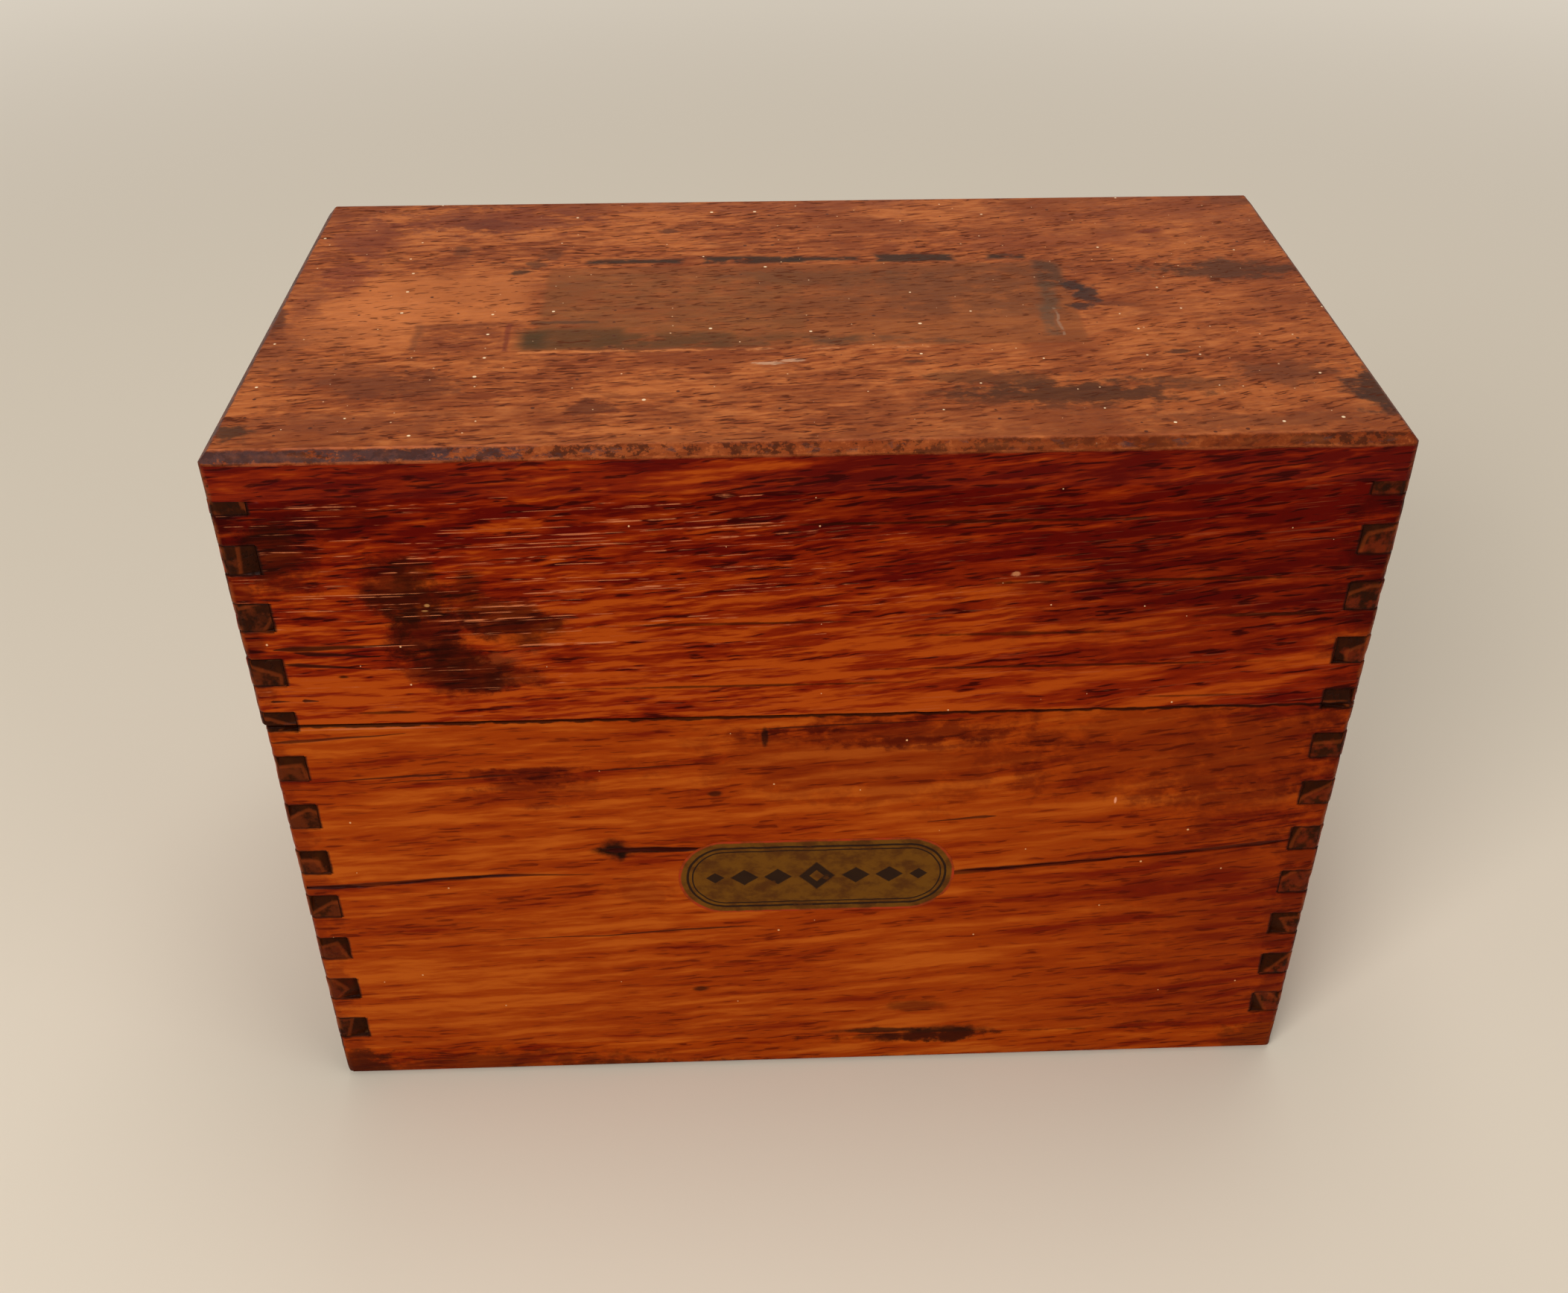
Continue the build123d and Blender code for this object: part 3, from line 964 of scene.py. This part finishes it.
# Cracks by the fingers of the left wall.
for *line, width in (
    (-69, 81.3, -52.5, 81.9, 0.7),
    (-66.5, 80.8, -55.5, 80.1, 0.5),
    (-68, 79, -57, 78.2, 0.5),
    (-70.9, 73.2, -68.3, 73.2, 0.3),
    (-66.8, 73.2, -64.6, 73.1, 0.4),
):
    finish.cracked("front", line, width, tint(34, 5, 1), 0.88)
finish.stained("front", (-39.0, 79.4, 3.2, 1.2), tint(150, 62, 22), 0.45)
finish.stained("front", (-48.7, 87.5, 0.40, 0.26), tint(176, 124, 70), 0.75, 0.3)
finish.stained("front", (-49.1, 86.7, 0.5, 0.14), tint(176, 124, 70), 0.65, 0.3)


def dust_and_glints_in_pores(finish):
    """Pale dust and painted glints of light in the rows of pores, most of it over the left of the
    lid's front.
    """
    level = put("CombineXYZ", {"Z": finish.x * 0.040})[0]
    vector = astray(finish.grain_vector + level, (14, 30, 30), (0.0, 0.0020, 0.0020))
    rows = cloudy(vector * (48, 4400, 4400), 1.0)
    gaps = cloudy(vector * (420, 2600, 2600), 1.0)
    dust_and_glints = ease(rows, 0.63, 0.69) * ease(gaps, 0.40, 0.52)
    dust_and_glint_share = 0.72 * finish.stain_mask("front", (-38.0, 93.0, 44, 15)) + 0.12
    # Pale lines in the pores: dust, with painted glints where the light catches them.
    finish.cover(dust_and_glints * dust_and_glint_share, tint(184, 104, 64), outside_only=True)


# Dust and painted glints in the lid's pores.
dust_and_glints_in_pores(finish)
finish.specked(170, 0.18, 0.13, tint(210, 160, 116))
finish.stained("front", (25.3, 90.5, 0.6, 0.36), tint(196, 132, 88), 0.6, 1.2)
lid_front_varnish = finish.seal(ARRIS_WORN, 0.03, 0.40)
cross_board("front_wall_of_lid", "lid_front_wall", "lid", lid_front_varnish, 21.3)

# ---------------------------------------------------------------- lid side walls
# The upper parts of the side boards, sawn off with the lid. Their fingers pass between those
# of its front and back, as in the base, and the lowest are sawn through.

finish = Finish("lid_side_varnish", "Y", (0.91, 0.13, 0.75))
finish.timber(LID_COLOURS, 0.04, 1.7, 1.4, 0.85, LID_JOINT_DATUM)
finish.stained("left", (-8, 92, 24, 9), tint(54, 11, 3), 0.45)
finish.stained("right", (12, 84, 20, 9), tint(54, 11, 3), 0.45)
finish.specked(150, 0.10, 0.22, tint(214, 170, 128))
lid_side_varnish = finish.seal(ARRIS_WORN, 0.05, 0.40)
side_board("left_wall_of_lid", "lid_left_wall", "lid", lid_side_varnish, -1, 24.6)
side_board("right_wall_of_lid", "lid_right_wall", "lid", lid_side_varnish, 1, 27.2)

# ---------------------------------------------------------------- lid back wall
# The upper part of the back board, sawn off with the lid and jointed as the front's is. Two
# shallow mortises at its rim take the upper leaves of the hinges.

finish = Finish("lid_back_varnish", "X", (0.25, 0.58, 0.86))
finish.timber(LID_COLOURS, 0.02, 1.7, 1.4, 0.85, LID_JOINT_DATUM)
finish.stained("back", (-20, 90, 26, 9), tint(54, 11, 3), 0.45)
finish.specked(150, 0.10, 0.22, tint(214, 170, 128))
lid_back_varnish = finish.seal(ARRIS_WORN, 0.10, 0.40)
cross_board("back_wall_of_lid", "lid_back_wall", "lid", lid_back_varnish, 30.8)

# ---------------------------------------------------------------- lid top board
# A 1/4 inch board glued down on the walls, with a worn bevel round its upper edge.
# Its varnish is rubbed dull and stained, its colours carry a painted sheen, and a label that once
# stuck there left its ghost.

# The top's colours, paler and browner than the front's: dull varnish with a painted sheen of the light
# on the top.
TOP_COLOURS_WITH_SHEEN = (tint(176, 98, 48), tint(154, 78, 34), tint(116, 50, 18), tint(74, 28, 10))
BEVEL = 1.35 * MM

patch, given, give = effect(
    "torn_patch",
    {"Vector": "Vector", "Middle": "Vector", "Half size": "Vector", "Soft": "Float"},
    {"Mask": "Float"},
)
away = abs(given["Vector"] - given["Middle"]) - given["Half size"]
away = coordinates(away)
away = larger(away["X"], away["Y"])
give(Mask=1 - ease(away, given["Soft"] * -1.0, given["Soft"]))

finish = Finish("top_board_varnish", "X", (0.44, 0.07, 0.02), 5.0)
from_top = TOP - finish.z
below = ease(from_top, BEVEL - 0.15 * MM, BEVEL + 0.15 * MM)
finish.flat = finish.vector
on_face = 1 - below
finish.grain_vector *= put("CombineXYZ", {0: 0.9 * on_face + 1.0, 1: 1, 2: 1})[0]
leaning = larger(finish.x, 0.0) ** 2.0 * -1.2 - 0.11 * finish.x
finish.grain_vector += put("CombineXYZ", {"Y": leaning * on_face})[0]
mixed = [blend(below, upper, lower) for upper, lower in zip(TOP_COLOURS_WITH_SHEEN, LID_COLOURS)]
darker = 0.16 * ease(finish.x, 0.0, 0.075) + 0.20
rightward = ease(finish.x, 0.0, 0.05)
fine = 3.0 - 1.2 * rightward * on_face - 0.8 * below
finish.timber(mixed, below * darker, 0.9, fine, 0.9)
mottle = cloudy(finish.vector * (60, 85, 85), 5.0, 0.62)
finish.cover(ease(mottle, 0.44, 0.66) * 0.75 * on_face, tint(112, 48, 18))
finish.cover(ease(mottle, 0.46, 0.32) * 0.45 * on_face, tint(178, 98, 46))
fine_mottle = cloudy(finish.vector * (160, 420, 420), 4.0, 0.7)
finish.cover(ease(fine_mottle, 0.50, 0.68) * 0.60 * on_face, tint(104, 44, 16))
finish.height += 1.4 * cloudy(finish.vector * (700, 900, 900), 3.0, 0.6)

straying = astray(finish.vector, (330, 330, 330), (0.0013, 0.0013, 0.0))
crumbs = cloudy(finish.vector * (260, 420, 420), 4.0, 0.65)


def faded(area, soft, colour, strength, low, high):
    """A rectangle on the top, in mm: torn away where the crumbs lie below low, whole above high."""
    middle = point_on("top", *area[:2])
    half_size = (area[2] * MM, area[3] * MM, DEEP)
    mask = use(patch, Vector=straying, Middle=middle, Half_size=half_size, Soft=soft * MM)["Mask"]
    mask = mask * strength * ease(crumbs, low, high)
    finish.cover(mask, tint(*colour), outside_only=True)


# The ghost of a label: paler wood at its left, its field, the dark glue along its lower edge,
# a smaller ghost beside it, and its right-hand edge.
for *area, soft, colour, strength, low, high in (
    (-50, 3, 12, 8, 3, (192, 108, 54), 0.55, 0, 0.1),
    (-60, -4, 8, 8, 3, (192, 110, 58), 0.4, 0, 0.1),
    (0.7, 0, 36.8, 13.8, 0.5, (118, 62, 28), 0.6, 0, 0.1),
    (-18, -1, 18, 12.4, 0.8, (112, 68, 34), 0.4, 0.36, 0.6),
    (24, 4, 12, 9, 2, (96, 50, 26), 0.62, 0.32, 0.56),
    (-31, -10.6, 6.6, 3.2, 0.9, (80, 48, 22), 0.8, 0.14, 0.42),
    (-36.5, -10.6, 1.8, 2.4, 1.4, (60, 42, 20), 0.8, 0, 0.1),
    (-19, -11.4, 9, 2.4, 1.2, (80, 48, 22), 0.8, 0.24, 0.5),
    (-4, -12, 11, 1.8, 1.2, (88, 52, 26), 0.6, 0.36, 0.6),
    (12, -12.2, 12, 1.4, 0.8, (84, 52, 32), 0.6, 0.42, 0.62),
    (-32.5, -5.2, 4.5, 0.45, 0.3, (70, 44, 30), 0.7, 0, 0.1),
    (-22, -14.5, 16, 0.3, 0.2, (196, 116, 62), 0.7, 0.36, 0.5),
    (4, -14.6, 12, 0.25, 0.2, (196, 124, 76), 0.6, 0.48, 0.56),
    (-46, -5.8, 6.2, 0.5, 0.5, (92, 42, 20), 0.6, 0.3, 0.52),
    (-51.8, -9.6, 0.5, 4, 0.4, (104, 54, 28), 0.55, 0, 0.1),
    (-39.8, -9.8, 0.35, 4.4, 0.25, (106, 40, 24), 0.75, 0, 0.1),
    (-45.5, -9.8, 6, 4.2, 1.6, (104, 44, 20), 0.65, 0.34, 0.6),
    (35.6, 9.6, 1.9, 4.8, 0.9, (68, 42, 28), 0.78, 0.26, 0.5),
    (34.5, 1.6, 1.1, 4.6, 0.7, (84, 58, 40), 0.74, 0.24, 0.52),
    (33.2, -6.6, 1, 5, 0.6, (88, 62, 44), 0.72, 0.24, 0.52),
    (34.6, -7, 0.2, 4.6, 0.15, (146, 118, 96), 0.5, 0.42, 0.52),
):
    faded(area, soft, colour, strength, low, high)
# The broken dark line along its upper edge.
for start, end, half_width in (
    (-31, -17, 0.8),
    (-14, 0.5, 1.3),
    (-2, 8.5, 0.7),
    (11, 22.5, 1.4),
    (27.5, 33, 0.8),
):
    area = ((start + end) / 2, 16.0, (end - start) / 2, half_width)
    faded(area, 0.6, (46, 27, 18), 0.95, 0.32, 0.50)
# Spills, rubbed dirt and dark spots, each in its own colour.
for *area, colour, strength in (
    (38.4, 5.2, 1.8, 2.4, (44, 27, 24), 0.9),
    (40, 1.6, 1.8, 3.4, (46, 28, 24), 0.88),
    (38, -2, 2.8, 1.3, (50, 28, 24), 0.88),
    (43.6, -1.7, 4.6, 0.9, (94, 42, 22), 0.6),
    (-52.5, -24, 9, 4, (92, 42, 20), 0.65),
    (-60, -20, 10, 4, (112, 54, 26), 0.5),
    (-27.5, -31, 3.6, 2.6, (84, 34, 14), 0.8),
    (-58, -34, 12, 3, (112, 54, 28), 0.5),
    (32, -29, 16, 4.2, (62, 30, 14), 0.88),
    (22, -24, 10, 2.2, (86, 44, 20), 0.7),
    (48, -27, 6, 2.6, (96, 48, 22), 0.6),
    (71, -29.6, 3.8, 6.6, (50, 28, 20), 0.92),
    (62, -24, 7, 3.6, (92, 46, 24), 0.6),
    (62, 10, 11, 3.8, (70, 36, 20), 0.85),
    (69, 37.8, 5.5, 2.6, (80, 36, 16), 0.65),
    (53.3, 25.3, 2.2, 1, (92, 26, 14), 0.75),
    (-49.4, 21, 1.5, 3, (84, 38, 20), 0.7),
    (-40.2, 12.6, 1.6, 1.4, (56, 34, 20), 0.85),
    (-38.6, 15.6, 2, 1.8, (76, 38, 20), 0.75),
    (-36, 18.6, 2.2, 2.2, (92, 44, 22), 0.65),
    (-19.4, 27.8, 2.2, 1, (78, 34, 16), 0.8),
    (-70, -36, 2.6, 2, (60, 34, 20), 0.85),
    (-71.5, -3.4, 1.4, 4.6, (70, 32, 18), 0.8),
    (-64.5, 12, 4, 6, (110, 44, 26), 0.65),
    (-68.5, 2, 2.6, 6, (116, 54, 30), 0.55),
    (-70, -14, 4, 8, (110, 52, 26), 0.5),
    (-64, 26, 6, 8, (106, 42, 24), 0.6),
    (-46, 33, 14, 6, (98, 36, 20), 0.65),
    (-48, 31, 5, 3.4, (84, 30, 18), 0.55),
    (-10, 38, 30, 3, (126, 60, 32), 0.5),
    (20, -34, 26, 4, (122, 58, 26), 0.4),
    (0, -28, 14, 3, (116, 52, 20), 0.45),
    (60, 34, 14, 7, (122, 56, 26), 0.55),
    (55, -37, 17, 2, (104, 50, 24), 0.55),
    (0, -39.4, 60, 1.2, (116, 54, 24), 0.5),
    (4, 9, 14, 3, (96, 54, 28), 0.6),
    (16, 5, 12, 4, (102, 54, 28), 0.5),
    (0, -1, 10, 3, (110, 58, 28), 0.5),
    (49, -17, 2.4, 0.7, (56, 24, 12), 0.8),
    (14, -19, 2.6, 0.5, (56, 28, 16), 0.7),
    (40, 22, 20, 3, (124, 56, 26), 0.45),
):
    finish.stained("top", area, tint(*colour), strength)
finish.stained("top", (-4.2, -18.9, 2.0, 0.4), tint(190, 144, 112), 0.75, 1.4)
finish.stained("top", (-2.2, -18.2, 1.8, 0.5), tint(190, 144, 112), 0.70, 1.4)
finish.outside = finish.outside * on_face
calmer = 0.5 * ease(finish.x, 0.054, 0.064) + 1.0 - 0.5 * rightward
finish.cover(finish.pores * calmer * 0.80, tint(80, 33, 14), outside_only=True)
finish.specked(140, 0.30, 0.22, tint(232, 200, 160))
finish.specked(330, 0.12, 0.11, tint(216, 172, 130))
finish.specked(230, 0.22, 0.24, tint(78, 34, 18))
# The edge below the bevel has the same dust and painted glints as the lid's front.
whole_colour = finish.colour
dust_and_glints_in_pores(finish)
finish.colour = blend(on_face, finish.colour, whole_colour)

# The bevel: worn to brown wood, gritty, slate grey at the left from wear with a painted reflection,
# and rubbed pale at its edges with painted highlights, stronger at the left.
from_front = finish.y - FRONT
from_sides = smaller(RIGHT - abs(finish.x), BACK - finish.y)
to_bevel = larger(smaller(from_front, from_sides), from_top)
worn_patch = cloudy(finish.vector * (260, 520, 520), 5.0, 0.75)
to_bevel = 1.6 * MM * (worn_patch - 0.5) + to_bevel
bevel = 1 - ease(to_bevel, 1.05 * MM, 1.45 * MM)
leftward = 1 - ease(finish.x, -0.052, -0.020)
grit = cloudy(finish.vector * (600, 700, 700), 4.0, 0.7)
grey_wear_and_reflection = ease(0.20 * leftward + worn_patch, 0.56, 0.66) * (0.45 * ease(grit, 0.64, 0.44) + 0.55)
finish.cover(bevel * 0.80, blend(rightward, tint(116, 48, 16), tint(96, 34, 8)))
finish.cover(bevel * calmer * ease(grit, 0.49, 0.56) * 0.80, tint(52, 20, 7))
# Slate grey at the left of the bevel: wear with a painted reflection.
finish.cover(bevel * grey_wear_and_reflection * 0.85, tint(50, 40, 42))
finish.cover(bevel * calmer * ease(grit, 0.42, 0.32) * 0.6, tint(160, 82, 38))
# Pale lines along the bevel's edges, stronger at the left: rubbed wood with painted highlights.
rubbed = 1 - ease(abs(from_top - BEVEL), 0.06 * MM, 0.24 * MM)
rubbed = rubbed * ease(crumbs, 0.42, 0.60) * (0.4 * leftward + 0.4)
finish.cover(rubbed, tint(176, 88, 46))
rubbed = 1 - ease(abs(from_front - 1.45 * MM), 0.06 * MM, 0.30 * MM)
rubbed = rubbed * on_face * ease(crumbs, 0.36, 0.56) * (0.4 * leftward + 0.2)
finish.cover(rubbed, tint(182, 100, 62))
finish.skin["Arris"] *= 0.35
top_varnish = finish.seal(tint(172, 92, 44), 0.05, 0.46)
shape = board_shape("lid_top_board")
ease_arrises(shape, 0.22 * MM)
slice_across(shape, (1, 0, 0), LEFT, RIGHT, 2.0 * MM)
slice_across(shape, (0, 1, 0), FRONT, BACK, 2.0 * MM)
wear(shape, "X", 33.5)
fit(shape, "top_board", "lid_top_board", "lid", top_varnish)

# ---------------------------------------------------------------- hinges
# Two brass butt hinges, let into the back: each has a leaf in the base and one in the lid,
# rolled round a steel pin, and two slotted brass screws to a leaf. All of it is tarnished.


def metal_finish(name, bright, tarnish, clean, rough):
    """A metal that has tarnished in patches; clean is the share still bright."""
    material, shader, vector = new_finish(name)
    patches = cloudy(vector * (240, 240, 240), 5.0, 0.65)
    patches = ease(patches, clean, clean + 0.22)
    fine = cloudy(vector * (300, 3000, 1500), 2.0)
    colour = blend(patches, bright, tarnish)
    feed(shader, {
        "Base Color": blend(ease(fine, 0.55, 0.75) * 0.35, colour, tarnish),
        "Roughness": 0.25 * patches + rough,
        "Normal": put("Bump", {"Height": fine, "Distance": 0.015 * MM})[0],
        "Metallic": 1.0,
    })
    return material


leaf_brass = metal_finish("hinge_brass", tint(196, 152, 84), tint(104, 66, 34), 0.42, 0.30)
screw_brass = metal_finish("screw_brass", tint(150, 108, 60), tint(70, 44, 26), 0.44, 0.36)
pin_steel = metal_finish("pin_steel", tint(150, 146, 140), tint(84, 62, 50), 0.46, 0.32)
for side in ("left", "right"):
    for body in ("base", "lid"):
        node = f"{side}_hinge_{body}_leaf"
        shape = board_shape(node)
        ease_arrises(shape, 0.07 * MM, 1)
        fit(shape, f"{side}_leaf_in_{body}", node, body, leaf_brass, 30)
        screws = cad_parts[f"{side}_hinge_{body}_screws"]
        screws.data.materials.clear()
        screws.data.materials.append(screw_brass)
    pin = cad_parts[f"{side}_hinge_pin"]
    pin.data.materials.clear()
    pin.data.materials.append(pin_steel)

# ---------------------------------------------------------------- printed transfer
# A thin printed film on the front of the base: an olive-gold oval with a red-orange edge
# and dark lines. It was floated on wet, and its lower edge has flaked a little.

MIDDLE_X, MIDDLE_Z = 0.4 * MM, 40.0 * MM
HALF_LONG, HALF_HIGH = 19.8 * MM, 6.9 * MM
STRAIGHT = HALF_LONG - HALF_HIGH
FILM = 0.05 * MM

material, shader, vector = new_finish("transfer_print")
vector = astray(vector, (500, 500, 500), (0.00025, 0.0, 0.00025))
place = coordinates(vector)
across = abs(place["X"] - MIDDLE_X)
up = abs(place["Z"] - MIDDLE_Z)
from_edge = HALF_HIGH - (larger(across - STRAIGHT, 0.0) ** 2.0 + up ** 2.0) ** 0.5


def print_line(at, width):
    """A line that follows the edge, that far inside it."""
    return 1 - ease(abs(from_edge - at), width * 0.4, width * 0.6)


def print_lozenge(at, half_wide, half_high):
    """A lozenge in the middle row, that far from the middle on either side."""
    off = abs(across - at) / half_wide + up / half_high
    return 1 - ease(off, 0.92, 1.08)


rubbed = cloudy(vector * (330, 330, 500), 4.0, 0.65)
colour = blend(ease(rubbed, 0.38, 0.66), tint(98, 58, 5), tint(74, 38, 3))
ink = larger(print_line(1.3 * MM, 0.35 * MM), print_line(2.0 * MM, 0.22 * MM))
for at, half_wide, half_high in ((0.0, 2.6, 2.6), (5.6, 2.0, 1.5), (10.4, 2.0, 1.5), (14.6, 1.3, 1.0)):
    ink = larger(ink, print_lozenge(at * MM, half_wide * MM, half_high * MM))
ink = larger(ink - print_lozenge(0.0, 1.1 * MM, 1.1 * MM), 0.0)
ink = ink * (1 - ease(rubbed, 0.62, 0.70) * 0.7)
colour = blend(ink * 0.92, colour, tint(26, 12, 6))
red_edge = 1 - ease(from_edge, 0.22 * MM, 0.50 * MM)
red_edge = red_edge * (0.95 - 0.45 * ease(rubbed, 0.40, 0.60))
feed(shader, {
    "Base Color": blend(red_edge, colour, tint(152, 44, 12)),
    "Roughness": 0.3 * rubbed + 0.28,
    "Specular IOR Level": 0.08,
})

film = bmesh.new()
bmesh.ops.create_circle(film, cap_ends=True, segments=96, radius=HALF_HIGH)
for vert in film.verts:
    lump = noise.noise(Vector((vert.co.x * 700, vert.co.y * 700, 4.0)))
    flake = max(0.0, lump - 0.15) * 0.9 * MM
    low_edge = 1.0 if vert.co.y < 0 else 0.35
    vert.co -= vert.co.normalized() * flake * low_edge
    vert.co.x += math.copysign(STRAIGHT, vert.co.x)
bmesh.ops.rotate(film, verts=film.verts, matrix=Matrix.Rotation(QUARTER_TURN, 3, "X"))
bmesh.ops.translate(film, verts=film.verts, vec=(MIDDLE_X, FRONT, MIDDLE_Z))
grown = bmesh.ops.extrude_face_region(film, geom=film.faces[:])["geom"]
grown = [part for part in grown if isinstance(part, bmesh.types.BMVert)]
bmesh.ops.translate(film, verts=grown, vec=(0, -FILM, 0))
bmesh.ops.recalc_face_normals(film, faces=film.faces)
transfer = add_mesh("printed_transfer", film, material)
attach(transfer, "base")
